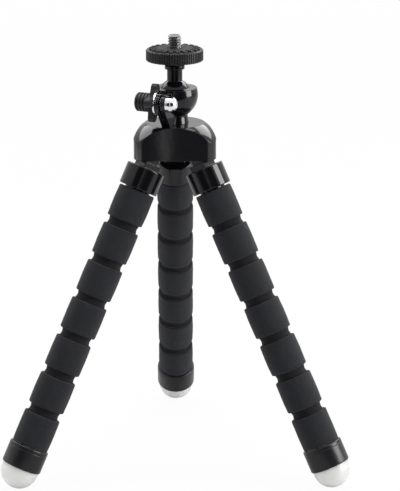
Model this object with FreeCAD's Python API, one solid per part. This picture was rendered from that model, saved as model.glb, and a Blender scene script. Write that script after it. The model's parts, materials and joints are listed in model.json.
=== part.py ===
"""Small flexible tripod: three bendable foam legs on a three lobed hub, with a clamped ball head.

Millimetres. The origin is on the tripod's axis, in the plane that its feet stand on, with +Z up.
One leg points to +Y, away from the viewer, and the other two point forward, to the left and right.
"""
import FreeCAD
import Part
import math
import os

# Legs and their spread
LEG_COUNT = 3
REAR_LEG_AZIMUTH = 90.0
LEG_TILT = 26.8
HINGE_RHO = 11.8
TONGUE_REACH = 9.5

# Leg fitting: the tongue in the hub, the shoulder below the hub and the collar under it
TONGUE_WIDTH = 6.4
TONGUE_DEPTH = 6.4
SHOULDER_START = 6.7
SHOULDER_WIDTH = 9.4
SHOULDER_DEPTH = 9.0
COLLAR_DIA = 19.4
COLLAR_LENGTH = 11.1
COLLAR_EDGE = 0.6
SPIGOT_DIA = 12.6
SPIGOT_LENGTH = 0.75

# Foam sleeve: fat rings with narrow grooves between them
FOAM_COUNT = 7
FOAM_DIA = 18.4
FOAM_LENGTH = 16.2
FOAM_EDGE = 1.0
GROOVE_WIDTH = 3.66
GROOVE_DIA = 14.8

# Bendable core inside the foam
CORE_DIA = 5.0
CORE_IN_FITTING = 7.5
CORE_IN_CAP = 6.0

# Leg end: a hard cap and a soft domed foot plugged into it
CAP_DIA = 19.8
CAP_LENGTH = 11.35
CAP_EDGE = 0.9
FOOT_RADIUS = 9.2
FOOT_DROP = 1.5
FOOT_PLUG_DIA = 11.0
FOOT_PLUG_LENGTH = 3.2

# Hinge pins and their washers
PIN_DIA = 3.0
PIN_LENGTH = 13.4
WASHER_DIA = 6.4
WASHER_THICKNESS = 0.5

# Hub
HUB_BELOW_PIN = 3.6
HUB_HEIGHT = 16.4
LOBE_RHO = 14.5
LOBE_RADIUS = 7.6
FACE_DISTANCE = 14.1
FACE_BULGE = 0.5
SHOULDER_RHO = 6.1
SHOULDER_RADIUS = 17.8
SHOULDER_RISE = 2.1
HUB_RIM = 1.6
COVER_RADIUS = 14.2
COVER_THICKNESS = 1.85
COVER_HOLE_DIA = 5.0
COVER_SCREW_RHO = 8.6
COVER_SCREW_DIA = 2.0
COVER_SCREW_HEAD_DIA = 3.6
COVER_SCREW_HEAD = 1.1
COVER_SCREW_LENGTH = 7.0
COVER_SCREW_SLOT_WIDTH = 0.5
COVER_SCREW_SLOT_LENGTH = 2.4
COVER_SCREW_SLOT_DEPTH = 0.55

# Bolt that joins the ball head to the hub
HEAD_BOLT_DIA = 5.0
HEAD_BOLT_HEAD_DIA = 8.4
HEAD_BOLT_HEAD = 3.0
HEAD_BOLT_SEAT = 6.0
HEAD_BOLT_KEY = 4.0
HEAD_BOLT_KEY_DEPTH = 1.8
HEAD_BOLT_FLOOR = 0.6

# Ball, stem and cup
BALL_RISE = 13.8
BALL_RADIUS = 8.0
STEM_DIA = 7.5
CUP_RADIUS = 11.4
CUP_RIM_RISE = 3.7
NECK_DIA = 12.7
NECK_FOOT_DIA = 13.6
NECK_FLARE = 3.4
LINER_THICKNESS = 0.7
LINER_ANGLE = 58.0
SLOT_AZIMUTH = 90.0

# Clamp across the split in the cup
CLAMP_TURN = 25.0
CLAMP_OUT = 3.8
CLAMP_DROP = 1.7
EAR_RADIUS = 4.4
EAR_FOOT_RHO = 12.2
EAR_FRONT = 2.0
EAR_BACK = 1.5
SPLIT_WIDTH = 1.0
SPLIT_OFFSET = 0.7
SPLIT_DEPTH = 13.0
CLAMP_BOLT_DIA = 4.0
CLAMP_HEAD_DIA = 7.8
CLAMP_HEAD_RIM = 1.3
CLAMP_WASHER_DIA = 12.4
CLAMP_WASHER = 0.8

# Knob on the clamp bolt: a plate with three lobes and a ringed grip
WING_THICKNESS = 2.75
WING_REACH = 9.4
WING_LOBE_RADIUS = 2.2
WING_LOBE_ANGLES = (95.0, 10.0, -66.0)
GRIP_DIA = 9.3
GRIP_LENGTH = 7.7
GRIP_RINGS = 4
GRIP_RING_PITCH = 1.7
GRIP_RING_START = 1.2
GRIP_GROOVE_WIDTH = 0.7
GRIP_GROOVE_DEPTH = 0.5
GRIP_EDGE = 0.5
INSERT_DIA = 6.2
INSERT_LENGTH = 7.0

# Camera platform
STEM_COLLAR_RISE = 12.7
STEM_COLLAR_DIA = 9.8
STEM_COLLAR_HEIGHT = 2.1
STEM_COLLAR_EDGE = 0.5
PLATFORM_DIA = 28.0
PLATFORM_RIM_HEIGHT = 5.1
PLATFORM_CONE_HEIGHT = 1.95
PLATFORM_NECK_DIA = 8.8
PLATFORM_NECK_HEIGHT = 0.6
PLATFORM_LIP = 1.5
PLATFORM_RECESS = 1.2
PLATFORM_EDGE = 0.5
KNURL_COUNT = 72
KNURL_DEPTH = 0.35
PAD_THICKNESS = 1.9
PAD_FLAT_RADIUS = 8.8
PAD_NOTCHES = 20
PAD_NOTCH_WIDTH = 1.7
PAD_NOTCH_DEPTH = 0.9

# Quarter inch camera screw, twenty threads to the inch
SCREW_DIA = 6.35
SCREW_PITCH = 1.27
SCREW_CREST = 0.45
SCREW_THREAD_DEPTH = 0.55
SCREW_STAND = 6.3
SCREW_NECK_RISE = 0.2
SCREW_IN_STEM = 6.5

# Clearances
RUNNING = 0.05
SEATED = 0.10
SOFT = 0.30
FOLD_ROOM = 0.4

# Places that follow from the sizes above
LEG_AZIMUTHS = [REAR_LEG_AZIMUTH + 360.0 / LEG_COUNT * i for i in range(LEG_COUNT)]
COLLAR_END = TONGUE_REACH + COLLAR_LENGTH
FOAM_START = COLLAR_END + SPIGOT_LENGTH
FOAM_PITCH = FOAM_LENGTH + GROOVE_WIDTH
FOAM_END = FOAM_START + FOAM_PITCH * (FOAM_COUNT - 1) + FOAM_LENGTH
CAP_START = FOAM_END + SOFT
CAP_END = CAP_START + CAP_LENGTH
FOOT_CENTRE = CAP_END + FOOT_DROP
PIN_Z = FOOT_RADIUS + FOOT_CENTRE * math.cos(math.radians(LEG_TILT))
HUB_BOTTOM = PIN_Z - HUB_BELOW_PIN
HUB_TOP = HUB_BOTTOM + HUB_HEIGHT
COVER_SEAT = HUB_BELOW_PIN - PIN_DIA / 2 - SEATED
POCKET_WIDTH = TONGUE_WIDTH + 2 * (WASHER_THICKNESS + 2 * RUNNING)
BALL_Z = HUB_TOP + BALL_RISE
RIM_Z = BALL_Z + CUP_RIM_RISE
LINER_INNER_RADIUS = BALL_RADIUS + RUNNING
LINER_OUTER_RADIUS = LINER_INNER_RADIUS + LINER_THICKNESS
SOCKET_RADIUS = LINER_OUTER_RADIUS + RUNNING
CLAMP_RHO = CUP_RADIUS + CLAMP_OUT
CLAMP_Z = BALL_Z - CLAMP_DROP
EAR_FRONT_FACE = SPLIT_OFFSET + SPLIT_WIDTH / 2 + EAR_FRONT
EAR_BACK_FACE = SPLIT_OFFSET - SPLIT_WIDTH / 2 - EAR_BACK
WING_FACE = EAR_BACK_FACE - CLAMP_WASHER - SEATED
GRIP_START = WING_FACE - WING_THICKNESS
GRIP_END = GRIP_START - GRIP_LENGTH
INSERT_END = GRIP_START - INSERT_LENGTH
STEM_COLLAR_Z = BALL_Z + STEM_COLLAR_RISE
PLATFORM_Z = STEM_COLLAR_Z + STEM_COLLAR_HEIGHT + RUNNING
RIM_BOTTOM_Z = PLATFORM_Z + PLATFORM_NECK_HEIGHT + PLATFORM_CONE_HEIGHT
RIM_TOP_Z = RIM_BOTTOM_Z + PLATFORM_RIM_HEIGHT
PAD_Z = RIM_TOP_Z - PLATFORM_RECESS
PAD_TOP_Z = PAD_Z + PAD_THICKNESS
SCREW_TOP_Z = PAD_TOP_Z + SCREW_STAND
THREAD_START_Z = PAD_TOP_Z + SCREW_NECK_RISE
THREAD_END_Z = SCREW_TOP_Z - SCREW_THREAD_DEPTH
PAD_RADIUS = PLATFORM_DIA / 2 - PLATFORM_LIP - SEATED
SCREW_SHANK_DIA = SCREW_DIA - 2 * SCREW_THREAD_DEPTH
HEAD_BOLT_TOP = BALL_Z - SOCKET_RADIUS - HEAD_BOLT_FLOOR - SEATED

V = FreeCAD.Vector
UP = V(0, 0, 1)
AXIS_POINT = V(0, 0, 0)
BEYOND = 1.0


def turned(points):
    """A solid of revolution about Z from its half section, given as radius and height pairs."""
    corners = [V(radius, 0, height) for radius, height in points]
    face = Part.Face(Part.makePolygon(corners + corners[:1]))
    return face.revolve(AXIS_POINT, UP, 360)


def rod(radius, bottom, top):
    return Part.makeCylinder(radius, top - bottom, V(0, 0, bottom))


def rounded_rod(radius, bottom, top, edge):
    """A rod whose two end edges are rounded."""
    body = rod(radius, bottom, top)
    circles = [e for e in body.Edges if isinstance(e.Curve, Part.Circle)]
    return body.makeFillet(edge, circles)


def along_x(radius, start, end, y, z):
    low, high = min(start, end), max(start, end)
    return Part.makeCylinder(radius, high - low, V(low, y, z), V(1, 0, 0))


def block(x0, x1, y0, y1, z0, z1):
    return Part.makeBox(x1 - x0, y1 - y0, z1 - z0, V(x0, y0, z0))


def spun(shape, degrees):
    """A copy turned about the tripod's axis."""
    copy = shape.copy()
    copy.rotate(AXIS_POINT, UP, degrees)
    return copy


def polar(radius, degrees, z=0.0):
    angle = math.radians(degrees)
    return V(radius * math.cos(angle), radius * math.sin(angle), z)


def prism(corners, step):
    """A prism on the polygon through the corners, swept by the vector step."""
    return Part.Face(Part.makePolygon(corners + corners[:1])).extrude(step)


def down_leg(shape):
    """Moves a piece built round Z, with +Z down the leg from its pin, to a folded leg at azimuth 0."""
    copy = shape.copy()
    copy.rotate(AXIS_POINT, V(1, 0, 0), 180)
    copy.translate(V(HINGE_RHO, 0, PIN_Z))
    return copy


def on_leg(shape, azimuth):
    """Puts a piece built round Z on the spread leg at an azimuth."""
    copy = down_leg(shape)
    copy.rotate(V(HINGE_RHO, 0, PIN_Z), V(0, 1, 0), -LEG_TILT)
    copy.rotate(AXIS_POINT, UP, azimuth)
    return copy


def in_clamp(shape):
    """Turns a piece built with the clamp's axis along X to its place on the head."""
    return spun(shape, -CLAMP_TURN)


def hub_outline(inset, bottom, top):
    """The hub's plan, three lobes joined by slightly bowed faces, with its walls moved in by inset."""
    radius = LOBE_RADIUS - inset
    face_distance = FACE_DISTANCE - inset
    half_step = 180.0 / LEG_COUNT
    towards_face = LOBE_RHO * math.cos(math.radians(half_step))
    half_chord = math.sqrt(radius ** 2 - (face_distance - towards_face) ** 2)
    reach = LOBE_RHO * math.sin(math.radians(half_step)) + half_chord
    corner_radius = math.hypot(face_distance, reach)
    corner_angle = math.degrees(math.atan2(reach, face_distance))
    edges = []
    for azimuth in LEG_AZIMUTHS:
        start = polar(corner_radius, azimuth - half_step + corner_angle, bottom)
        tip = polar(LOBE_RHO + radius, azimuth, bottom)
        end = polar(corner_radius, azimuth + half_step - corner_angle, bottom)
        following = polar(corner_radius, azimuth + half_step + corner_angle, bottom)
        middle = polar(face_distance + FACE_BULGE, azimuth + half_step, bottom)
        edges.append(Part.Arc(start, tip, end).toShape())
        edges.append(Part.Arc(end, middle, following).toShape())
    return Part.Face(Part.Wire(edges)).extrude(V(0, 0, top - bottom))


def leg_pocket():
    """The room in one lobe for a leg's tongue, which swings in it, at azimuth 0."""
    inner = HINGE_RHO - TONGUE_DEPTH / 2 - FOLD_ROOM
    swing = HUB_BELOW_PIN * math.tan(math.radians(LEG_TILT))
    outer = HINGE_RHO + TONGUE_DEPTH / 2 / math.cos(math.radians(LEG_TILT)) + swing + FOLD_ROOM
    top = PIN_Z + TONGUE_DEPTH / 2 + FOLD_ROOM
    return block(inner, outer, -POCKET_WIDTH / 2, POCKET_WIDTH / 2, HUB_BOTTOM, top)


def pin_at_hinge(radius, length):
    return Part.makeCylinder(radius, length, V(HINGE_RHO, -length / 2, PIN_Z), V(0, 1, 0))


def pin_saddle():
    """A round seat for one hinge pin, open at its underside, where the cover closes it."""
    length = PIN_LENGTH + 2 * SEATED
    radius = PIN_DIA / 2 + RUNNING
    way_in = block(HINGE_RHO - radius, HINGE_RHO + radius, -length / 2, length / 2, HUB_BOTTOM, PIN_Z)
    return pin_at_hinge(radius, length).fuse(way_in)


def face_azimuths():
    return [azimuth + 180.0 / LEG_COUNT for azimuth in LEG_AZIMUTHS]


def hub_round():
    """The round form that bounds the hub's top: a drum whose upper edge is one wide arc."""
    centre = V(SHOULDER_RHO, 0, HUB_TOP + SHOULDER_RISE - SHOULDER_RADIUS)
    side = centre + V(SHOULDER_RADIUS, 0, 0)
    slope = centre + V(math.sqrt(0.5), 0, math.sqrt(0.5)) * SHOULDER_RADIUS
    top = centre + V(0, 0, SHOULDER_RADIUS)
    rest = Part.makePolygon([top, V(0, 0, top.z), V(0, 0, HUB_BOTTOM), V(side.x, 0, HUB_BOTTOM), side])
    section = Part.Wire([Part.Arc(side, slope, top).toShape()] + rest.Edges)
    return Part.Face(section).revolve(AXIS_POINT, UP, 360)


def hub_shell():
    body = hub_outline(0.0, HUB_BOTTOM, HUB_TOP).common(hub_round())
    for azimuth in LEG_AZIMUTHS:
        body = body.cut(spun(leg_pocket().fuse(pin_saddle()), azimuth))
    body = body.cut(hub_outline(HUB_RIM, HUB_BOTTOM, HUB_BOTTOM + COVER_SEAT))
    seat_top = HUB_BOTTOM + HEAD_BOLT_SEAT
    body = body.cut(rod(HEAD_BOLT_HEAD_DIA / 2 + SEATED, HUB_BOTTOM, seat_top))
    body = body.cut(rod(HEAD_BOLT_DIA / 2 + SEATED, seat_top, HUB_TOP))
    for azimuth in face_azimuths():
        hole = rod(COVER_SCREW_DIA / 2 + RUNNING, HUB_BOTTOM, HUB_BOTTOM + COVER_SCREW_LENGTH + SEATED)
        hole.translate(polar(COVER_SCREW_RHO, azimuth))
        body = body.cut(hole)
    return body


def hub_cover():
    """A plate that closes the hub and traps the hinge pins, with a slot for each leg."""
    top = HUB_BOTTOM + COVER_SEAT
    plate = hub_outline(HUB_RIM + SEATED, top - COVER_THICKNESS, top)
    plate = plate.common(rod(COVER_RADIUS, top - COVER_THICKNESS, top))
    for azimuth in LEG_AZIMUTHS:
        plate = plate.cut(spun(leg_pocket(), azimuth))
    plate = plate.cut(rod(COVER_HOLE_DIA / 2, HUB_BOTTOM - BEYOND, top + BEYOND))
    sink_top = top - COVER_THICKNESS + COVER_SCREW_HEAD
    for azimuth in face_azimuths():
        hole = rod(COVER_SCREW_DIA / 2 + SEATED, HUB_BOTTOM - BEYOND, top + BEYOND)
        sink = rod(COVER_SCREW_HEAD_DIA / 2 + SEATED, HUB_BOTTOM - BEYOND, sink_top)
        opening = hole.fuse(sink)
        opening.translate(polar(COVER_SCREW_RHO, azimuth))
        plate = plate.cut(opening)
    return plate


def cover_screws():
    low = HUB_BOTTOM + COVER_SEAT - COVER_THICKNESS
    head = rod(COVER_SCREW_HEAD_DIA / 2, low, low + COVER_SCREW_HEAD)
    screw = head.fuse(rod(COVER_SCREW_DIA / 2, low, HUB_BOTTOM + COVER_SCREW_LENGTH))
    slot_top = low + COVER_SCREW_SLOT_DEPTH
    half_width = COVER_SCREW_SLOT_WIDTH / 2
    half_length = COVER_SCREW_SLOT_LENGTH / 2
    cross = block(-half_length, half_length, -half_width, half_width, low, slot_top)
    cross = cross.fuse(spun(cross, 90))
    screw = screw.cut(cross)
    group = []
    for azimuth in face_azimuths():
        copy = screw.copy()
        copy.translate(polar(COVER_SCREW_RHO, azimuth))
        group.append(copy)
    return Part.makeCompound(group)


def hinge_pins():
    pin = pin_at_hinge(PIN_DIA / 2, PIN_LENGTH)
    return Part.makeCompound([spun(pin, azimuth) for azimuth in LEG_AZIMUTHS])


def hinge_washers():
    """A friction washer on each side of each tongue."""
    group = []
    middle = (TONGUE_WIDTH + POCKET_WIDTH) / 4
    for side in (-1, 1):
        start = side * middle - WASHER_THICKNESS / 2
        disc = Part.makeCylinder(WASHER_DIA / 2, WASHER_THICKNESS, V(HINGE_RHO, start, PIN_Z), V(0, 1, 0))
        washer = disc.cut(pin_at_hinge(PIN_DIA / 2 + RUNNING, PIN_LENGTH))
        group += [spun(washer, azimuth) for azimuth in LEG_AZIMUTHS]
    return Part.makeCompound(group)


def head_bolt():
    seat = HUB_BOTTOM + HEAD_BOLT_SEAT
    low = seat - HEAD_BOLT_HEAD
    body = rod(HEAD_BOLT_HEAD_DIA / 2, low, seat).fuse(rod(HEAD_BOLT_DIA / 2, seat, HEAD_BOLT_TOP))
    corner_radius = HEAD_BOLT_KEY / 2 / math.cos(math.radians(30))
    key = prism([polar(corner_radius, 60 * i, low) for i in range(6)], V(0, 0, HEAD_BOLT_KEY_DEPTH))
    return body.cut(key)


def ear(start, end):
    """One ear of the clamp, from the hub's top up to a round boss on the clamp's axis."""
    foot = -EAR_FOOT_RHO
    boss_y = -CLAMP_RHO
    lean = math.atan2(CLAMP_Z - HUB_TOP, CLAMP_RHO - EAR_FOOT_RHO + EAR_RADIUS)
    outer_y = boss_y - EAR_RADIUS * math.sin(lean)
    outer_z = CLAMP_Z - EAR_RADIUS * math.cos(lean)
    points = [(0, HUB_TOP), (foot, HUB_TOP), (outer_y, outer_z), (boss_y, CLAMP_Z),
              (boss_y, CLAMP_Z + EAR_RADIUS), (0, CLAMP_Z + EAR_RADIUS)]
    web = prism([V(start, y, z) for y, z in points], V(end - start, 0, 0))
    return web.fuse(along_x(EAR_RADIUS, start, end, boss_y, CLAMP_Z))


def cup_body():
    """The cup's outside: a bowl on a short flared neck."""
    neck_r = NECK_DIA / 2
    foot_r = NECK_FOOT_DIA / 2
    neck_top = BALL_Z - math.sqrt(SOCKET_RADIUS ** 2 - neck_r ** 2)
    neck = turned([(0, HUB_TOP), (foot_r, HUB_TOP), (neck_r, HUB_TOP + NECK_FLARE), (neck_r, neck_top),
                   (0, neck_top)])
    below_rim = rod(2 * CUP_RADIUS, BALL_Z - CUP_RADIUS, RIM_Z)
    bowl = Part.makeSphere(CUP_RADIUS, V(0, 0, BALL_Z)).common(below_rim)
    return bowl.fuse(neck)


def stem_slot():
    """The notch in the cup's wall that lets the stem lie level."""
    radius = STEM_DIA / 2 + SOFT
    round_end = along_x(radius, 0, 2 * CUP_RADIUS, 0, BALL_Z)
    way_up = block(0, 2 * CUP_RADIUS, -radius, radius, BALL_Z, BALL_Z + CUP_RADIUS)
    return spun(round_end.fuse(way_up), SLOT_AZIMUTH)


def ball_cup():
    y, z = -CLAMP_RHO, CLAMP_Z
    body = cup_body().fuse(in_clamp(ear(EAR_BACK_FACE, EAR_FRONT_FACE)))
    below_equator = rod(CUP_RADIUS, BALL_Z - CUP_RADIUS, BALL_Z)
    socket = Part.makeSphere(SOCKET_RADIUS, V(0, 0, BALL_Z)).common(below_equator)
    lip = Part.makeSphere(BALL_RADIUS + SEATED, V(0, 0, BALL_Z))
    body = body.cut(socket).cut(lip).cut(stem_slot())
    split_start = SPLIT_OFFSET - SPLIT_WIDTH / 2
    split_end = SPLIT_OFFSET + SPLIT_WIDTH / 2
    split = block(split_start, split_end, -2 * CLAMP_RHO, 0, RIM_Z - SPLIT_DEPTH, RIM_Z + BEYOND)
    hole = along_x(CLAMP_BOLT_DIA / 2 + SEATED, EAR_BACK_FACE - BEYOND, EAR_FRONT_FACE + BEYOND, y, z)
    knob_room = along_x(CLAMP_WASHER_DIA / 2 + SEATED, EAR_BACK_FACE, WING_FACE, y, z)
    grip_room = along_x(GRIP_DIA / 2 + SOFT, WING_FACE, GRIP_END - BEYOND, y, z)
    body = body.cut(in_clamp(split.fuse(hole).fuse(knob_room).fuse(grip_room)))
    bolt_bore = rod(HEAD_BOLT_DIA / 2 + RUNNING, HUB_TOP - BEYOND, HEAD_BOLT_TOP + SEATED)
    return body.cut(bolt_bore).removeSplitter()


def ball_liner():
    """A thin bowl between the ball and the cup."""
    outer = Part.makeSphere(LINER_OUTER_RADIUS, V(0, 0, BALL_Z))
    inner = Part.makeSphere(LINER_INNER_RADIUS, V(0, 0, BALL_Z))
    rim = BALL_Z - BALL_RADIUS * math.cos(math.radians(LINER_ANGLE))
    return outer.cut(inner).common(rod(CUP_RADIUS, BALL_Z - CUP_RADIUS, rim))


def ball_stem():
    top = STEM_COLLAR_Z + STEM_COLLAR_HEIGHT
    body = Part.makeSphere(BALL_RADIUS, V(0, 0, BALL_Z)).fuse(rod(STEM_DIA / 2, BALL_Z, top))
    bore = rod(SCREW_SHANK_DIA / 2 + RUNNING, top - SCREW_IN_STEM - SEATED, top + BEYOND)
    return body.cut(bore).removeSplitter()


def stem_collar():
    top = STEM_COLLAR_Z + STEM_COLLAR_HEIGHT
    ring = rounded_rod(STEM_COLLAR_DIA / 2, STEM_COLLAR_Z, top, STEM_COLLAR_EDGE)
    return ring.cut(rod(STEM_DIA / 2, STEM_COLLAR_Z - BEYOND, top + BEYOND))


def platform_disc():
    """The round plate under the camera, with a knurled edge and a recess for its pad."""
    radius = PLATFORM_DIA / 2
    neck = PLATFORM_NECK_DIA / 2
    cone_z = PLATFORM_Z + PLATFORM_NECK_HEIGHT
    edge = PLATFORM_EDGE
    lip = radius - PLATFORM_LIP
    body = turned([(0, PLATFORM_Z), (neck, PLATFORM_Z), (neck, cone_z), (STEM_COLLAR_DIA / 2, cone_z),
                   (radius - edge, RIM_BOTTOM_Z - edge), (radius, RIM_BOTTOM_Z), (radius, RIM_TOP_Z - edge),
                   (radius - edge, RIM_TOP_Z), (lip, RIM_TOP_Z), (lip, PAD_Z), (0, PAD_Z)])
    groove_radius = math.pi * PLATFORM_DIA / KNURL_COUNT / 4
    groove = rod(groove_radius, RIM_BOTTOM_Z, RIM_TOP_Z + BEYOND)
    groove.translate(V(radius + groove_radius - KNURL_DEPTH, 0, 0))
    knurl = Part.makeCompound([spun(groove, 360.0 / KNURL_COUNT * i) for i in range(KNURL_COUNT)])
    bore = rod(SCREW_SHANK_DIA / 2, PLATFORM_Z - BEYOND, PAD_Z + BEYOND)
    return body.cut(knurl).cut(bore)


def platform_pad():
    """A soft disc with a flat middle and a row of notches in its edge."""
    body = rod(PAD_RADIUS, PAD_Z, PAD_TOP_Z)
    half_width = PAD_NOTCH_WIDTH / 2
    notch = block(PAD_FLAT_RADIUS, PAD_RADIUS + BEYOND, -half_width, half_width, PAD_TOP_Z - PAD_NOTCH_DEPTH,
                  PAD_TOP_Z + BEYOND)
    notches = Part.makeCompound([spun(notch, 360.0 / PAD_NOTCHES * i) for i in range(PAD_NOTCHES)])
    hole = rod(SCREW_DIA / 2 + SOFT, PAD_Z - BEYOND, PAD_TOP_Z + BEYOND)
    return body.cut(notches).cut(hole)


def camera_screw():
    """A threaded stud on a plain neck; its thread is a row of ring grooves at the thread's pitch."""
    radius = SCREW_DIA / 2
    root = radius - SCREW_THREAD_DEPTH
    low = STEM_COLLAR_Z + STEM_COLLAR_HEIGHT - SCREW_IN_STEM
    points = [(0, low), (SCREW_SHANK_DIA / 2, low), (SCREW_SHANK_DIA / 2, THREAD_START_Z),
              (radius, THREAD_START_Z)]
    turns = int((THREAD_END_Z - THREAD_START_Z) / SCREW_PITCH)
    flank = (SCREW_PITCH - SCREW_CREST) / 2
    first = THREAD_END_Z - turns * SCREW_PITCH
    for i in range(turns):
        crest = first + i * SCREW_PITCH
        points += [(radius, crest), (root, crest + flank), (radius, crest + 2 * flank)]
    points += [(radius, THREAD_END_Z), (root, SCREW_TOP_Z), (0, SCREW_TOP_Z)]
    return turned(points)


def clamp_bolt():
    """A domed bolt through both ears into the knob."""
    y, z = -CLAMP_RHO, CLAMP_Z
    dome_r = CLAMP_HEAD_DIA / 2
    dome_x = EAR_FRONT_FACE + CLAMP_HEAD_RIM
    shank = along_x(CLAMP_BOLT_DIA / 2, EAR_FRONT_FACE, INSERT_END + SEATED, y, z)
    rim = along_x(dome_r, EAR_FRONT_FACE, dome_x, y, z)
    outer_half = along_x(2 * dome_r, dome_x, dome_x + 2 * dome_r, y, z)
    dome = Part.makeSphere(dome_r, V(dome_x, y, z)).common(outer_half)
    return in_clamp(shank.fuse(rim).fuse(dome).removeSplitter())


def clamp_washer():
    y, z = -CLAMP_RHO, CLAMP_Z
    disc = along_x(CLAMP_WASHER_DIA / 2, EAR_BACK_FACE - CLAMP_WASHER, EAR_BACK_FACE, y, z)
    hole = along_x(CLAMP_BOLT_DIA / 2 + SEATED, WING_FACE - BEYOND, EAR_BACK_FACE + BEYOND, y, z)
    return in_clamp(disc.cut(hole))


def wing_plate():
    """Three rounded lobes standing out of a round boss, in the plane across the clamp's axis."""
    y, z = -CLAMP_RHO, CLAMP_Z
    root_half = GRIP_DIA / 2
    lobe_rho = WING_REACH - WING_LOBE_RADIUS
    plate = along_x(root_half, GRIP_START, WING_FACE, y, z)
    for angle in WING_LOBE_ANGLES:
        out = V(0, -math.cos(math.radians(angle)), math.sin(math.radians(angle)))
        across = V(0, -out.z, out.y)
        root = V(GRIP_START, y, z)
        tip = root + out * lobe_rho
        corners = [root - across * root_half, tip - across * WING_LOBE_RADIUS,
                   tip + across * WING_LOBE_RADIUS, root + across * root_half]
        arm = prism(corners, V(WING_THICKNESS, 0, 0))
        plate = plate.fuse(arm).fuse(along_x(WING_LOBE_RADIUS, GRIP_START, WING_FACE, tip.y, tip.z))
    return plate.removeSplitter()


def knob_grip():
    """The round handle behind the lobes, with a row of ring grooves."""
    radius = GRIP_DIA / 2
    half_groove = GRIP_GROOVE_WIDTH / 2
    profile = [(0, 0), (radius, 0)]
    for i in range(GRIP_RINGS):
        middle = GRIP_RING_START + GRIP_RING_PITCH * i
        profile += [(radius, middle - half_groove), (radius - GRIP_GROOVE_DEPTH, middle),
                    (radius, middle + half_groove)]
    profile += [(radius, GRIP_LENGTH - GRIP_EDGE), (radius - GRIP_EDGE, GRIP_LENGTH), (0, GRIP_LENGTH)]
    grip = turned(profile)
    grip.rotate(AXIS_POINT, V(0, 1, 0), -90)
    grip.translate(V(GRIP_START, -CLAMP_RHO, CLAMP_Z))
    return grip


def clamp_knob():
    y, z = -CLAMP_RHO, CLAMP_Z
    bolt_room = along_x(CLAMP_BOLT_DIA / 2 + RUNNING, WING_FACE + BEYOND, INSERT_END, y, z)
    insert_seat = along_x(INSERT_DIA / 2, GRIP_START, INSERT_END, y, z)
    return in_clamp(wing_plate().fuse(knob_grip()).cut(bolt_room).cut(insert_seat))


def knob_insert():
    y, z = -CLAMP_RHO, CLAMP_Z
    sleeve = along_x(INSERT_DIA / 2, GRIP_START, INSERT_END, y, z)
    bore = along_x(CLAMP_BOLT_DIA / 2 + RUNNING, GRIP_START + BEYOND, INSERT_END - BEYOND, y, z)
    return in_clamp(sleeve.cut(bore))


def leg_fitting():
    """The leg's upper end: a tongue round the hinge pin, a shoulder, a collar and a short spigot."""
    half_depth = TONGUE_DEPTH / 2
    half_width = TONGUE_WIDTH / 2
    round_top = Part.makeCylinder(half_depth, TONGUE_WIDTH, V(0, -half_width, 0), V(0, 1, 0))
    tongue = round_top.fuse(block(-half_depth, half_depth, -half_width, half_width, 0, TONGUE_REACH))
    shoulder = block(-SHOULDER_DEPTH / 2, SHOULDER_DEPTH / 2, -SHOULDER_WIDTH / 2, SHOULDER_WIDTH / 2,
                     SHOULDER_START, TONGUE_REACH)
    collar = rounded_rod(COLLAR_DIA / 2, TONGUE_REACH, COLLAR_END, COLLAR_EDGE)
    body = tongue.fuse(shoulder).fuse(collar).fuse(rod(SPIGOT_DIA / 2, COLLAR_END, FOAM_START))
    pin_hole = Part.makeCylinder(PIN_DIA / 2 + RUNNING, 2 * TONGUE_WIDTH, V(0, -TONGUE_WIDTH, 0), V(0, 1, 0))
    core_hole = rod(CORE_DIA / 2 + SEATED, COLLAR_END - CORE_IN_FITTING - SEATED, FOAM_START + BEYOND)
    return body.cut(pin_hole).cut(core_hole).removeSplitter()


def foam_ring(number):
    """One fat ring of the sleeve. Its rounded neck below sits in a hollow in the next ring's top."""
    start = FOAM_START + FOAM_PITCH * number
    end = start + FOAM_LENGTH
    knuckle = GROOVE_DIA / 2
    body = rounded_rod(FOAM_DIA / 2, start, end, FOAM_EDGE)
    if number > 0:
        body = body.cut(Part.makeSphere(knuckle + SOFT, V(0, 0, start - GROOVE_WIDTH / 2)))
    if number < FOAM_COUNT - 1:
        body = body.fuse(Part.makeSphere(knuckle, V(0, 0, end + GROOVE_WIDTH / 2)))
    return body.cut(rod(CORE_DIA / 2 + SEATED, start - knuckle, end + 2 * knuckle))


def leg_core():
    return rod(CORE_DIA / 2, COLLAR_END - CORE_IN_FITTING, CAP_START + CORE_IN_CAP)


def leg_cap():
    body = rounded_rod(CAP_DIA / 2, CAP_START, CAP_END, CAP_EDGE)
    core_hole = rod(CORE_DIA / 2 + SEATED, CAP_START - BEYOND, CAP_START + CORE_IN_CAP + SEATED)
    plug_hole = rod(FOOT_PLUG_DIA / 2 + SEATED, CAP_END - FOOT_PLUG_LENGTH - SEATED, CAP_END + BEYOND)
    return body.cut(core_hole).cut(plug_hole)


def leg_foot():
    """A soft dome under the cap, held by a round plug."""
    lower_half = rod(2 * FOOT_RADIUS, FOOT_CENTRE, FOOT_CENTRE + 2 * FOOT_RADIUS)
    dome = Part.makeSphere(FOOT_RADIUS, V(0, 0, FOOT_CENTRE)).common(lower_half)
    body = dome.fuse(rod(FOOT_RADIUS, CAP_END, FOOT_CENTRE))
    return body.fuse(rod(FOOT_PLUG_DIA / 2, CAP_END - FOOT_PLUG_LENGTH, CAP_END)).removeSplitter()


def save(name, shape):
    """Writes one node, after a check that it is sound."""
    solids = shape.Solids
    if not solids or not shape.isValid():
        raise ValueError("unsound shape: " + name)
    single = solids[0] if len(solids) == 1 else Part.makeCompound(solids)
    single.exportStep(os.path.join("parts", name + ".step"))
    print(name, "solids", len(solids), "volume %.1f" % shape.Volume)


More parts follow.
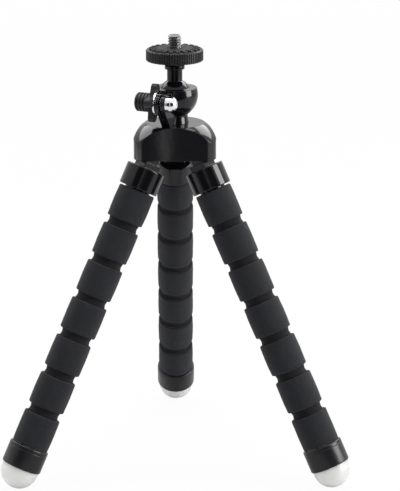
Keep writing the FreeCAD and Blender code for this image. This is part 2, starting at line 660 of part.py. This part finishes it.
def main():
    os.makedirs("parts", exist_ok=True)
    head = [hub_shell, hub_cover, cover_screws, hinge_pins, hinge_washers, head_bolt, ball_cup, ball_liner,
            ball_stem, stem_collar, platform_disc, platform_pad, camera_screw, clamp_bolt, clamp_washer,
            clamp_knob, knob_insert]
    for build in head:
        save(build.__name__, build())
    leg_pieces = {"fitting": leg_fitting(), "core": leg_core(), "cap": leg_cap(), "foot": leg_foot()}
    for number in range(FOAM_COUNT):
        leg_pieces["foam_%d" % (number + 1)] = foam_ring(number)
    for leg, azimuth in enumerate(LEG_AZIMUTHS, start=1):
        for piece in sorted(leg_pieces):
            save("leg_%d_%s" % (leg, piece), on_leg(leg_pieces[piece], azimuth))


main()
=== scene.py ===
"""Looks of a small flexible tripod: foam covered legs, a glossy three-lobed hub and a clamped ball head.

Objects are in metres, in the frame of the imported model: the origin is on the tripod's axis in the
plane of its feet, +Z is up, the rear leg points to +Y and the viewer is towards -Y.
"""
import json
import math

import bmesh
import bpy
from mathutils import Matrix, Vector, noise


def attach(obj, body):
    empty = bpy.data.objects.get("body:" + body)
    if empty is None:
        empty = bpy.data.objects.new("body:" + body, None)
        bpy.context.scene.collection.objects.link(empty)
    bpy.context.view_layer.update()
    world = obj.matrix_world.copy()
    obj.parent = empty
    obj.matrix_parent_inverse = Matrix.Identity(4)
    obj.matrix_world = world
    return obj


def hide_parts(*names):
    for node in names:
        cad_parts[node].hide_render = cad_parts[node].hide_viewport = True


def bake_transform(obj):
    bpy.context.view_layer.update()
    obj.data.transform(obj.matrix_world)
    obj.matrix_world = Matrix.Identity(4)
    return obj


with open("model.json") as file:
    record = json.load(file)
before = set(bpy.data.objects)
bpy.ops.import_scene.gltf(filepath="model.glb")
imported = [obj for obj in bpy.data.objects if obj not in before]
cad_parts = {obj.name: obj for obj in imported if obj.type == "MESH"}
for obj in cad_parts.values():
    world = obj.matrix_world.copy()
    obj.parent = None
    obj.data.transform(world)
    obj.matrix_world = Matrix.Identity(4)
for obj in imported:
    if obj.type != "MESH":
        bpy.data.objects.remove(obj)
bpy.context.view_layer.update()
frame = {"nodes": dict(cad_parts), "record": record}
MM = 0.001

# Legs, with lengths in millimetres
LEG_AZIMUTHS = {1: 90.0, 2: 210.0, 3: 330.0}
LEG_TILT = math.radians(26.8)
HINGE_RHO = 11.8
FOAM_START = 21.35
FOAM_COUNT = 7
FOAM_LENGTH = 16.2
FOAM_PITCH = 19.86
FOAM_RADIUS = 9.2
FOAM_EDGE = 0.9
FOAM_LAST_EDGE = 0.3
FOAM_CROWN = 0.15
TOP_STRETCH = 0.25
NECK_RADIUS = 7.4
NECK_OVERLAP = 1.6
ROUND_STEPS = 96
NECK_STEPS = 64
CAP_START = 157.01
CAP_LENGTH = 11.35
CAP_RADIUS = 9.9
CAP_LINE = 2.1
FOOT_RADIUS = 9.2
FOOT_CENTRE = 169.86
FOOT_BURIED = 2.1
PIN_HEIGHT = FOOT_RADIUS + FOOT_CENTRE * math.cos(LEG_TILT)

# Camera plate and its screw, in millimetres
PAD_HEIGHT = PIN_HEIGHT + 47.9
PAD_TOP = PAD_HEIGHT + 1.9
PAD_RADIUS = 12.4
PAD_FLAT_RADIUS = 8.8
PAD_NOTCHES = 20
NOTCH_RADIUS = PAD_FLAT_RADIUS + 0.3
NOTCH_DEPTH = 0.9
NOTCH_SHARE = 0.22
NOTCH_SLOPE = 0.03
PAD_HOLE_RADIUS = 3.5
SCREW_TOP = PAD_TOP + 6.3
SCREW_RADIUS = 3.175
THREAD_DEPTH = 0.55
THREAD_PITCH = 1.27
THREAD_CREST = 0.5
THREAD_ROOT_HALF = 0.1
THREAD_TURNS = 9
THREAD_STEPS = 48

# The studio, in metres
FLOOR_REACH = 8.0
FLOOR_GLOW_FOR_EYE = 0.95
FLOOR_GLOW_FOR_GLOSS = 0.1
CARD_WIDTH = 1.8
CARD_HEIGHT = 0.5
CARD_DISTANCE = 0.5
# Glow of the card across its width, seen only in reflections: painted reflection with one bright stripe.
CARD_TONES = ((0.0, 0.75), (0.30, 0.02), (0.43, 0.02), (0.45, 0.18), (0.477, 0.18), (0.479, 1.6),
              (0.489, 1.6), (0.491, 0.18), (0.55, 0.20), (0.57, 0.02), (0.70, 0.02), (1.0, 0.4))
LAMPS_FACE = (0, 0, 0.15)

# The photograph's view, with the place in metres and the angles in degrees
EYE_AT = (0.00209, -1.04831, 0.3992)
EYE_UP_FROM_DOWN = 74.62
EYE_TURN = -0.56
LENS_LENGTH = 196.45
SENSOR_WIDTH = 36.0


class Value:
    """A shader socket that can be used in arithmetic, where each sign adds a Math node."""

    def __init__(self, shading, socket):
        self.shading = shading
        self.socket = socket

    def _maths(self, operation, first, second):
        return self.shading.node("ShaderNodeMath", {"operation": operation}, {0: first, 1: second}, 0)

    def __add__(self, other):
        return self._maths("ADD", self, other)

    __radd__ = __add__

    def __mul__(self, other):
        return self._maths("MULTIPLY", self, other)

    __rmul__ = __mul__


class Shading:
    """A tree of shader nodes and the output that shows them."""

    def __init__(self, tree, output_kind):
        self.tree = tree
        self.tree.nodes.clear()
        self.output = self.tree.nodes.new(output_kind)

    def fill(self, socket, value):
        """Links a socket to a Value, or sets it to a constant."""
        if isinstance(value, Value):
            self.tree.links.new(value.socket, socket)
        else:
            socket.default_value = value

    def node(self, kind, settings, inputs, output):
        """Any other node: its settings first, then its inputs, and the output that is wanted."""
        made = self.tree.nodes.new(kind)
        for key, value in settings.items():
            if key == "stops":
                for i, (position, color) in enumerate(value):
                    stop = made.color_ramp.elements[i] if i < 2 else made.color_ramp.elements.new(position)
                    stop.position = position
                    stop.color = color
            else:
                setattr(made, key, value)
        for key, value in inputs.items():
            self.fill(made.inputs[key], value)
        return Value(self, made.outputs[output])

    def show(self, surface):
        """Makes the surface what the output shows."""
        self.fill(self.output.inputs[0], surface)


class Finish(Shading):
    """One material: a Principled shader and what feeds it."""

    def __init__(self, name, **constants):
        self.material = bpy.data.materials.new(name)
        self.material.use_nodes = True
        super().__init__(self.material.node_tree, "ShaderNodeOutputMaterial")
        self.skin = self.node("ShaderNodeBsdfPrincipled", {}, {}, 0)
        self.show(self.skin)
        for name_in_words, value in constants.items():
            self.set(name_in_words, value)
        self.place = self.node("ShaderNodeTexCoord", {}, {}, "Object")

    def set(self, name_in_words, value):
        """Sets or links one socket of the shader, such as base_color or coat_weight."""
        sockets = self.skin.socket.node.inputs
        self.fill(sockets[name_in_words.replace("_", " ").title().replace("Ior", "IOR")], value)

    def cloud(self, scale, detail=3.0, roughness=0.5):
        """Smooth mottling between 0 and 1. The scale is in patches to the metre."""
        inputs = {"Vector": self.place, "Scale": scale, "Detail": detail, "Roughness": roughness}
        return self.node("ShaderNodeTexNoise", {}, inputs, 0)

    def pores(self, scale):
        """Distance from the nearest of a crowd of points, for cells and pores."""
        inputs = {"Vector": self.place, "Scale": scale}
        return self.node("ShaderNodeTexVoronoi", {"feature": "F1"}, inputs, "Distance")

    def between(self, low, high, mask):
        """A colour that goes from low to high with the mask."""
        inputs = {"Factor": mask, 6: low, 7: high}
        return self.node("ShaderNodeMix", {"data_type": "RGBA"}, inputs, 2)

    def rounded(self, radius):
        """Normals that round off the sharp edges of a piece by a radius in metres."""
        return self.node("ShaderNodeBevel", {"samples": 6}, {"Radius": radius}, 0)

    def relief(self, height, depth, under=None):
        """Bumps in the skin, where a height of 1 is the depth in metres, over the normals under it."""
        inputs = {"Height": height, "Distance": depth, "Strength": 1.0}
        if under is not None:
            inputs["Normal"] = under
        self.set("normal", self.node("ShaderNodeBump", {}, inputs, 0))


def foam_finish(name, dark, light):
    """Closed cell foam: dull charcoal, with fine pores and soft mottling."""
    finish = Finish(name, roughness=0.9, sheen_weight=0.1, sheen_roughness=0.5, specular_ior_level=0.2)
    patches = finish.cloud(260.0, detail=4.0, roughness=0.6)
    pores = finish.pores(2400.0)
    fine = finish.cloud(3600.0, detail=2.0, roughness=0.6)
    finish.set("base_color", finish.between(dark, light, patches))
    finish.relief(pores * 0.6 + fine * 0.5 + patches * 0.5, depth=0.00022)
    return finish.material


def gloss_black_finish():
    """Polished black moulding with a slightly uneven skin."""
    finish = Finish("gloss_black", specular_ior_level=0.32)
    wave = finish.cloud(120.0, detail=2.0, roughness=0.4)
    smudge = finish.cloud(420.0, detail=4.0, roughness=0.65)
    finish.set("base_color", finish.between((0.0035, 0.0035, 0.005, 1), (0.006, 0.006, 0.008, 1), smudge))
    finish.set("roughness", 0.08 + smudge * 0.07)
    finish.relief(wave, depth=0.00008, under=finish.rounded(0.0004))
    return finish.material


def satin_black_finish():
    """Black moulding with a fine spark texture, duller than the hub."""
    finish = Finish("matte_black", specular_ior_level=0.28)
    grain = finish.cloud(2600.0, detail=2.0, roughness=0.5)
    wear = finish.cloud(300.0, detail=4.0, roughness=0.6)
    finish.set("base_color", finish.between((0.009, 0.009, 0.0105, 1), (0.018, 0.018, 0.020, 1), wear))
    finish.set("roughness", 0.30 + wear * 0.14)
    finish.relief(grain, depth=0.00005, under=finish.rounded(0.00025))
    return finish.material


def cap_finish():
    """Black moulding of the leg's end sleeve, half glossy and a little worn."""
    finish = Finish("cap_black", specular_ior_level=0.3)
    wear = finish.cloud(240.0, detail=4.0, roughness=0.6)
    grain = finish.cloud(2200.0, detail=2.0, roughness=0.5)
    finish.set("base_color", finish.between((0.005, 0.005, 0.0065, 1), (0.009, 0.009, 0.011, 1), wear))
    finish.set("roughness", 0.24 + wear * 0.16)
    finish.relief(grain, depth=0.00003, under=finish.rounded(0.0003))
    return finish.material


def pad_finish():
    """Dull rubber with some dust on it."""
    finish = Finish("pad_rubber", specular_ior_level=0.15)
    dust = finish.cloud(700.0, detail=4.0, roughness=0.6)
    grain = finish.cloud(3000.0, detail=2.0, roughness=0.5)
    finish.set("base_color", finish.between((0.016, 0.016, 0.017, 1), (0.034, 0.034, 0.036, 1), dust))
    finish.set("roughness", 0.5 + dust * 0.2)
    finish.relief(grain, depth=0.00008)
    return finish.material


def foot_finish():
    """Milky, frosted soft plastic."""
    finish = Finish("foot_clear", subsurface_weight=0.55, subsurface_radius=(1.0, 1.0, 1.0),
                    subsurface_scale=0.004, transmission_weight=0.0, ior=1.45, coat_weight=0.2,
                    coat_roughness=0.15)
    haze = finish.cloud(180.0, detail=3.0, roughness=0.55)
    grain = finish.cloud(1800.0, detail=2.0, roughness=0.5)
    finish.set("base_color", finish.between((0.74, 0.74, 0.725, 1), (0.85, 0.85, 0.835, 1), haze))
    finish.set("roughness", 0.34 + haze * 0.14)
    finish.relief(grain, depth=0.00005)
    return finish.material


def metal_finish(name, dark, light, roughness, grain_depth, edge):
    """A metal with faint turning marks and stains. Its grain and its rounded edges are in metres."""
    finish = Finish(name, metallic=1.0)
    stain = finish.cloud(500.0, detail=4.0, roughness=0.6)
    marks = finish.cloud(4000.0, detail=2.0, roughness=0.5)
    finish.set("base_color", finish.between(dark, light, stain))
    finish.set("roughness", roughness + stain * (0.5 * roughness))
    finish.relief(marks, depth=grain_depth, under=finish.rounded(edge))
    return finish.material


def nylon_finish():
    """White nylon of the washers and the ball's liner."""
    finish = Finish("white_nylon", subsurface_weight=0.1, subsurface_scale=0.001)
    haze = finish.cloud(400.0, detail=3.0, roughness=0.5)
    finish.set("base_color", finish.between((0.62, 0.62, 0.58, 1), (0.75, 0.75, 0.72, 1), haze))
    finish.set("roughness", 0.4 + haze * 0.15)
    finish.relief(haze, depth=0.00003)
    return finish.material


FINISHES = {
    "foam": foam_finish("foam", (0.0107, 0.0111, 0.0138, 1), (0.0192, 0.02, 0.024, 1)),
    # A darker copy of the foam for the necks: painted shade of the grooves between the rings.
    "foam_painted_shade": foam_finish("foam_painted_shade", (0.004, 0.004, 0.005, 1), (0.008, 0.008, 0.010, 1)),
    "gloss_black": gloss_black_finish(),
    "matte_black": satin_black_finish(),
    "cap_black": cap_finish(),
    "pad_rubber": pad_finish(),
    "foot_clear": foot_finish(),
    "dark_steel": metal_finish("dark_steel", (0.10, 0.10, 0.105, 1), (0.22, 0.22, 0.23, 1),
                               roughness=0.30, grain_depth=0.00002, edge=0.0001),
    "steel": metal_finish("steel", (0.42, 0.42, 0.43, 1), (0.56, 0.56, 0.57, 1),
                          roughness=0.28, grain_depth=0.00002, edge=0.0001),
    "chrome": metal_finish("chrome", (0.74, 0.74, 0.76, 1), (0.84, 0.84, 0.86, 1),
                           roughness=0.06, grain_depth=0.000004, edge=0.0002),
    "white_nylon": nylon_finish(),
    "brass": metal_finish("brass", (0.60, 0.42, 0.16, 1), (0.74, 0.55, 0.24, 1),
                          roughness=0.25, grain_depth=0.00002, edge=0.0001),
}


def leg_place(azimuth):
    """From a leg's own axes, with Z down the leg from its pin and X outwards, to the frame's."""
    angle = math.radians(azimuth)
    radial = Vector((math.cos(angle), math.sin(angle), 0))
    down = radial * math.sin(LEG_TILT) - Vector((0, 0, math.cos(LEG_TILT)))
    out = radial * math.cos(LEG_TILT) + Vector((0, 0, math.sin(LEG_TILT)))
    side = down.cross(out)
    pin = radial * HINGE_RHO * MM + Vector((0, 0, PIN_HEIGHT * MM))
    place = Matrix((out, side, down)).transposed().to_4x4()
    place.translation = pin
    return place


def point_on_leg(azimuth, distance):
    """A point on the leg's axis, the distance in millimetres below its pin."""
    return leg_place(azimuth) @ Vector((0, 0, distance * MM))


def lathe(profile, steps, rounding=None):
    """A closed turned form about Z.

    The profile is radius and height pairs in millimetres, from axis to axis or closed on itself. Rounding
    gives the radius and the segments of each corner that is rounded, by its place in the profile.
    """
    form = bmesh.new()
    corners = [form.verts.new((radius * MM, 0, height * MM)) for radius, height in profile]
    for first, second in zip(corners, corners[1:]):
        form.edges.new((first, second))
    for place, (radius, segments) in (rounding or {}).items():
        bmesh.ops.bevel(form, geom=[corners[place]], offset=radius * MM, offset_type="OFFSET",
                        segments=segments, profile=0.5, affect="VERTICES", material=-1, clamp_overlap=True)
    bmesh.ops.spin(form, geom=form.verts[:] + form.edges[:], cent=(0, 0, 0), axis=(0, 0, 1), dvec=(0, 0, 0),
                   angle=2 * math.pi, steps=steps, use_merge=True, use_duplicate=False)
    bmesh.ops.remove_doubles(form, verts=form.verts[:], dist=1e-6)
    bmesh.ops.recalc_face_normals(form, faces=form.faces[:])
    return form


def edges_along(form, longer_than):
    """The edges of a turned form that rise by more than so many millimetres."""
    return [edge for edge in form.edges
            if abs(edge.verts[0].co.z - edge.verts[1].co.z) > longer_than * MM]


def uneven(form, amount, scale, seed):
    """Pushes the skin in and out by up to the amount in millimetres, as on a moulded soft piece."""
    form.normal_update()
    moves = []
    for vert in form.verts:
        where = vert.co * scale + Vector((seed, 2.3 * seed, 0.7 * seed))
        moves.append(vert.normal * noise.noise(where) * amount * MM)
    for vert, move in zip(form.verts, moves):
        vert.co += move


def object_from(form, name, material):
    """Turns the form into an object of the scene, with one material."""
    mesh = bpy.data.meshes.new(name)
    form.to_mesh(mesh)
    form.free()
    made = bpy.data.objects.new(name, mesh)
    bpy.context.scene.collection.objects.link(made)
    mesh.materials.append(material)
    return made


def finished(form, name, finish, smooth_below):
    """Turns the form into a piece with its finish, smooth but for edges sharper than an angle in degrees."""
    limit = math.radians(smooth_below)
    for face in form.faces:
        face.smooth = True
    for edge in form.edges:
        edge.smooth = not edge.is_manifold or edge.calc_face_angle(0.0) < limit
    piece = object_from(form, name, FINISHES[finish])
    return piece


def foam_body(leg, ring):
    """The body that carries this foam ring of this leg."""
    if ring == 1:
        return "leg_%d_top" % leg
    if ring == FOAM_COUNT:
        return "leg_%d_end" % leg
    return "leg_%d_seg_%d" % (leg, ring)


def foam_ring(leg, ring):
    """One fat ring of the sleeve: slightly crowned, with soft edges and ends that turn in to the neck."""
    start = FOAM_START + FOAM_PITCH * (ring - 1)
    end = start + FOAM_LENGTH
    if ring == 1:
        start -= TOP_STRETCH
    middle = (start + end) / 2
    inner = NECK_RADIUS - 1.0
    end_radius = FOAM_RADIUS - FOAM_CROWN
    profile = [(inner, start + 2.2), (inner, start + 0.9), (NECK_RADIUS + 0.3, start + 0.25)]
    profile.append((end_radius, start))
    profile += [(FOAM_RADIUS - 0.04, middle - 3.5), (FOAM_RADIUS, middle), (FOAM_RADIUS - 0.04, middle + 3.5)]
    profile += [(end_radius, end), (NECK_RADIUS + 0.3, end - 0.25), (inner, end - 0.9), (inner, end - 2.2)]
    profile.append(profile[0])
    lower_edge = FOAM_LAST_EDGE if ring == FOAM_COUNT else FOAM_EDGE
    form = lathe(profile, ROUND_STEPS, rounding={3: (FOAM_EDGE, 5), 7: (lower_edge, 5)})
    bmesh.ops.subdivide_edges(form, edges=edges_along(form, 2.0), cuts=3, use_grid_fill=True)
    uneven(form, amount=0.10, scale=160.0, seed=10.0 * leg + ring)
    uneven(form, amount=0.05, scale=600.0, seed=20.0 * leg + ring)
    bmesh.ops.transform(form, matrix=leg_place(LEG_AZIMUTHS[leg]), verts=form.verts[:])
    piece = finished(form, "leg_%d_foam_ring_%d" % (leg, ring), "foam", smooth_below=60.0)
    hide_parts("leg_%d_foam_%d" % (leg, ring))
    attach(piece, foam_body(leg, ring))


def foam_neck(leg, ring):
    """The narrow waist of the sleeve between one ring and the next."""
    groove_start = FOAM_START + FOAM_PITCH * (ring - 1) + FOAM_LENGTH
    groove_end = groove_start + FOAM_PITCH - FOAM_LENGTH
    middle = (groove_start + groove_end) / 2
    top = groove_start - NECK_OVERLAP
    bottom = groove_end + NECK_OVERLAP
    profile = [(NECK_RADIUS - 0.8, top), (NECK_RADIUS + 0.2, top), (NECK_RADIUS + 0.25, groove_start + 0.2)]
    profile += [(NECK_RADIUS, groove_start + 1.2), (NECK_RADIUS - 0.1, middle)]
    profile += [(NECK_RADIUS, groove_end - 1.2), (NECK_RADIUS + 0.25, groove_end - 0.2)]
    profile += [(NECK_RADIUS + 0.2, bottom), (NECK_RADIUS - 0.8, bottom)]
    profile.append(profile[0])
    form = lathe(profile, NECK_STEPS)
    bmesh.ops.subdivide_edges(form, edges=edges_along(form, 0.9), cuts=2, use_grid_fill=True)
    uneven(form, amount=0.06, scale=300.0, seed=30.0 * leg + ring)
    bmesh.ops.transform(form, matrix=leg_place(LEG_AZIMUTHS[leg]), verts=form.verts[:])
    name = "leg_%d_foam_neck_%d" % (leg, ring)
    # The neck takes the darker foam, which is painted shade in the groove.
    piece = finished(form, name, "foam_painted_shade", smooth_below=60.0)
    if ring == 1:
        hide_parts("leg_%d_core" % leg)
    azimuth = LEG_AZIMUTHS[leg]
    point_on_leg(azimuth, groove_start)
    point_on_leg(azimuth, groove_end)
    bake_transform(piece)


def leg_cap(leg):
    """The hard sleeve at the leg's end, with a rolled lip and a fine parting line."""
    start = CAP_START
    end = start + CAP_LENGTH
    line = start + CAP_LINE
    profile = [(0, start + 0.4), (FOAM_RADIUS - 1.2, start + 0.4), (FOAM_RADIUS - 0.6, start)]
    profile += [(CAP_RADIUS, start), (CAP_RADIUS, line - 0.18), (CAP_RADIUS - 0.14, line)]
    profile += [(CAP_RADIUS, line + 0.18), (CAP_RADIUS, end), (FOOT_RADIUS - 0.1, end)]
    profile += [(FOOT_RADIUS - 0.3, end - 0.7), (0, end - 0.7)]
    form = lathe(profile, ROUND_STEPS, rounding={3: (0.8, 4), 7: (0.7, 4)})
    bmesh.ops.transform(form, matrix=leg_place(LEG_AZIMUTHS[leg]), verts=form.verts[:])
    piece = finished(form, "leg_%d_end_cap" % leg, "cap_black", smooth_below=35.0)
    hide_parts("leg_%d_cap" % leg)
    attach(piece, "leg_%d_end" % leg)


def leg_foot(leg):
    """The milky dome that the leg stands on."""
    base = FOOT_CENTRE - FOOT_BURIED
    tip = FOOT_CENTRE + FOOT_RADIUS
    profile = [(0, base), (FOOT_RADIUS - 0.35, base), (FOOT_RADIUS, FOOT_CENTRE - 0.8), (FOOT_RADIUS, tip),
               (0, tip)]
    form = lathe(profile, ROUND_STEPS, rounding={3: (FOOT_RADIUS, 24)})
    bmesh.ops.transform(form, matrix=leg_place(LEG_AZIMUTHS[leg]), verts=form.verts[:])
    piece = finished(form, "leg_%d_dome_foot" % leg, "foot_clear", smooth_below=50.0)
    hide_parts("leg_%d_foot" % leg)
    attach(piece, "leg_%d_end" % leg)


def notched_pad():
    """The soft pad: a flat middle and a row of notches between teeth at its edge.

    It is turned with even columns round it. Each column then swings to its share of the pitch from one
    notch to the next, and the rim of the columns in a notch goes down.
    """
    profile = [(PAD_HOLE_RADIUS, PAD_HEIGHT), (PAD_RADIUS, PAD_HEIGHT), (PAD_RADIUS, PAD_TOP - 0.25),
               (PAD_RADIUS - 0.08, PAD_TOP - 0.08), (PAD_RADIUS - 0.25, PAD_TOP), (NOTCH_RADIUS, PAD_TOP),
               (PAD_FLAT_RADIUS + 0.1, PAD_TOP - 0.1), (PAD_FLAT_RADIUS, PAD_TOP),
               (PAD_HOLE_RADIUS + 0.3, PAD_TOP), (PAD_HOLE_RADIUS, PAD_TOP - 0.3)]
    profile.append(profile[0])
    tooth_start = NOTCH_SHARE + NOTCH_SLOPE
    shares = (0.0, NOTCH_SHARE, tooth_start, 0.5, 1 - tooth_start, 1 - NOTCH_SHARE)
    in_notch = (True, True, False, False, False, True)
    pitch = 2 * math.pi / PAD_NOTCHES
    step = pitch / len(shares)
    form = lathe(profile, PAD_NOTCHES * len(shares))
    for vert in form.verts:
        column = round(math.atan2(vert.co.y, vert.co.x) / step) % len(shares)
        is_rim = vert.co.xy.length > (NOTCH_RADIUS - 0.05) * MM and vert.co.z > (PAD_HEIGHT + 0.5) * MM
        if is_rim and in_notch[column]:
            vert.co.z -= NOTCH_DEPTH * MM
        vert.co.rotate(Matrix.Rotation(pitch * shares[column] - step * column, 3, "Z"))
    form.normal_update()
    piece = finished(form, "notched_pad", "pad_rubber", smooth_below=40.0)
    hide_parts("platform_pad")
    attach(piece, "platform")


def thread():
    """The camera screw, with a real helical thread and a chamfered end.

    The helix starts below the screw and is cut level at both ends.
    """
    root = SCREW_RADIUS - THREAD_DEPTH
    flank = (THREAD_PITCH - THREAD_CREST) / 2 - THREAD_ROOT_HALF
    crest_start = THREAD_ROOT_HALF + flank
    form = bmesh.new()
    low = PAD_HEIGHT - 2 * THREAD_PITCH
    profile = [(root, 0), (root, THREAD_ROOT_HALF), (SCREW_RADIUS, crest_start),
               (SCREW_RADIUS, crest_start + THREAD_CREST), (root, THREAD_PITCH - THREAD_ROOT_HALF),
               (root, THREAD_PITCH)]
    corners = [form.verts.new((radius * MM, 0, (low + height) * MM)) for radius, height in profile]
    for first, second in zip(corners, corners[1:]):
        form.edges.new((first, second))
    bmesh.ops.spin(form, geom=form.verts[:] + form.edges[:], cent=(0, 0, 0), axis=(0, 0, 1),
                   dvec=(0, 0, THREAD_PITCH * MM / THREAD_STEPS), angle=2 * math.pi * THREAD_TURNS,
                   steps=THREAD_STEPS * THREAD_TURNS, use_merge=False, use_duplicate=False)
    bmesh.ops.remove_doubles(form, verts=form.verts[:], dist=2e-6)
    for height, is_top in ((PAD_HEIGHT + 0.1, False), (SCREW_TOP, True)):
        bmesh.ops.bisect_plane(form, geom=form.verts[:] + form.edges[:] + form.faces[:], dist=1e-7,
                               plane_co=(0, 0, height * MM), plane_no=(0, 0, 1), clear_outer=is_top,
                               clear_inner=not is_top)
        rim = [edge for edge in form.edges
               if edge.is_boundary and all(abs(vert.co.z - height * MM) < 1e-5 for vert in edge.verts)]
        bmesh.ops.contextual_create(form, geom=rim)
    for vert in form.verts:
        limit = (SCREW_RADIUS - max(0.0, vert.co.z / MM - (SCREW_TOP - THREAD_DEPTH))) * MM
        radius = vert.co.xy.length
        if radius > limit:
            vert.co.xy = vert.co.xy * (limit / radius)
    bmesh.ops.recalc_face_normals(form, faces=form.faces[:])
    piece = finished(form, "threaded_screw", "dark_steel", smooth_below=30.0)
    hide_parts("camera_screw")
    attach(piece, "platform")


def dress_model():
    """Gives each node of the model that stays in sight the finish of its material slot."""
    slots = {entry["node"]: entry["material_slot"] for entry in frame["record"]["subparts"]}
    for name, node in frame["nodes"].items():
        node.data.materials.clear()
        node.data.materials.append(FINISHES[slots[name]])


def build_tripod():
    dress_model()
    for leg in LEG_AZIMUTHS:
        for ring in range(1, FOAM_COUNT + 1):
            foam_ring(leg, ring)
        for ring in range(1, FOAM_COUNT):
            foam_neck(leg, ring)
        leg_cap(leg)
        leg_foot(leg)
    notched_pad()
    thread()


def floor():
    """A plain white floor, nearly all white for the eye, that keeps a faint shadow."""
    form = bmesh.new()
    bmesh.ops.create_grid(form, x_segments=8, y_segments=8, size=FLOOR_REACH)
    paper = Finish("white_floor", base_color=(0.80, 0.80, 0.80, 1), roughness=0.9, specular_ior_level=0.1)
    by_eye = paper.node("ShaderNodeLightPath", {}, {}, "Is Camera Ray")
    by_gloss = paper.node("ShaderNodeLightPath", {}, {}, "Is Glossy Ray")
    share = by_eye * FLOOR_GLOW_FOR_EYE + by_gloss * FLOOR_GLOW_FOR_GLOSS
    glow = paper.node("ShaderNodeEmission", {}, {"Strength": 1.0}, 0)
    paper.show(paper.node("ShaderNodeMixShader", {}, {0: share, 1: paper.skin, 2: glow}, 0))
    object_from(form, "floor", paper.material)


def studio_world(strength):
    """White for the eye and for mirrors, and a softer white as light."""
    world = bpy.data.worlds.new("studio")
    bpy.context.scene.world = world
    world.use_nodes = True
    sky = Shading(world.node_tree, "ShaderNodeOutputWorld")
    as_light = sky.node("ShaderNodeLightPath", {}, {}, "Is Diffuse Ray")
    light = sky.node("ShaderNodeBackground", {}, {"Color": (1, 1, 1, 1), "Strength": strength}, 0)
    white = sky.node("ShaderNodeBackground", {}, {"Color": (1, 1, 1, 1), "Strength": 1.0}, 0)
    sky.show(sky.node("ShaderNodeMixShader", {}, {0: as_light, 1: white, 2: light}, 0))


def soft_box(name, at, width, height, brightness, lights=True, shines=True):
    """A lamp that faces the tripod. It may light without a reflection, or only shine in glossy skins."""
    lamp = bpy.data.lights.new(name, "AREA")
    lamp.shape = "RECTANGLE"
    lamp.size = width
    lamp.size_y = height
    lamp.energy = brightness * math.pi * width * height
    holder = bpy.data.objects.new(name, lamp)
    holder.location = at
    holder.rotation_euler = (Vector(LAMPS_FACE) - Vector(at)).to_track_quat("-Z", "Y").to_euler()
    holder.visible_diffuse = lights
    holder.visible_glossy = shines
    bpy.context.scene.collection.objects.link(holder)


def card_finish():
    """A glow that only glossy skins show, a painted reflection: dark, paler in the middle and at both ends,
    with one bright stripe left of the middle.
    """
    finish = Finish("card", base_color=(0, 0, 0, 1), specular_ior_level=0.0, roughness=1.0,
                    emission_strength=1.0)
    across = finish.node("ShaderNodeSeparateXYZ", {}, {0: finish.place}, "X")
    stops = [(position, (tone, tone, tone, 1)) for position, tone in CARD_TONES]
    finish.set("emission_color", finish.node("ShaderNodeValToRGB", {"stops": stops}, {0: across + 0.5}, 0))
    return finish.material


def dark_card():
    """An upright card in front of the tripod, which shows only in glossy skins."""
    form = bmesh.new()
    bmesh.ops.create_grid(form, x_segments=1, y_segments=1, size=0.5)
    flat_size = Matrix.Diagonal((1.0, CARD_HEIGHT, 1.0, 1.0))
    upright = Matrix.Translation((0, 0, CARD_HEIGHT / 2)) @ Matrix.Rotation(math.radians(90.0), 4, "X")
    bmesh.ops.transform(form, matrix=upright @ flat_size, verts=form.verts[:])
    card = object_from(form, "dark_card", card_finish())
    card.location = (0.0, -CARD_DISTANCE, 0.0)
    card.scale = (CARD_WIDTH, 1.0, 1.0)
    card.visible_camera = False
    card.visible_diffuse = False
    card.visible_shadow = False


def studio_lights():
    """Soft boxes above, behind and at both sides, and those that only the glossy skins show."""
    studio_world(strength=0.5)
    soft_box("top_box", (0.0, 0.1, 1.10), width=1.0, height=0.7, brightness=3.2)
    soft_box("back_box", (0.0, 2.0, 0.75), width=2.4, height=1.3, brightness=1.5, shines=False)
    soft_box("left_box", (-1.0, -0.2, 0.45), width=0.2, height=0.6, brightness=4.2, shines=False)
    soft_box("right_box", (0.95, -0.25, 0.40), width=0.4, height=0.5, brightness=6.5, shines=False)
    soft_box("right_shine", (0.95, -0.25, 0.42), width=0.55, height=0.7, brightness=12.0, lights=False)
    soft_box("left_low_shine", (-0.45, -0.03, 0.03), width=0.4, height=0.05, brightness=1.8, lights=False)
    soft_box("back_left_shine", (-0.81, 0.75, 1.03), width=1.0, height=0.65, brightness=3.9, lights=False)
    soft_box("back_right_shine", (0.73, 0.87, 0.99), width=0.9, height=0.65, brightness=5.8, lights=False)
    dark_card()


def camera():
    """The photograph's view: a long lens, a little above the head and tipped down."""
    lens = bpy.data.cameras.new("camera")
    lens.sensor_fit = "HORIZONTAL"
    lens.sensor_width = SENSOR_WIDTH
    lens.lens = LENS_LENGTH
    lens.clip_end = 100.0
    eye = bpy.data.objects.new("camera", lens)
    eye.location = EYE_AT
    eye.rotation_euler = (math.radians(EYE_UP_FROM_DOWN), 0, math.radians(EYE_TURN))
    bpy.context.scene.collection.objects.link(eye)
    bpy.context.scene.camera = eye


camera()
build_tripod()
floor()
studio_lights()
bpy.context.scene.view_settings.view_transform = "Standard"
bpy.context.view_layer.update()
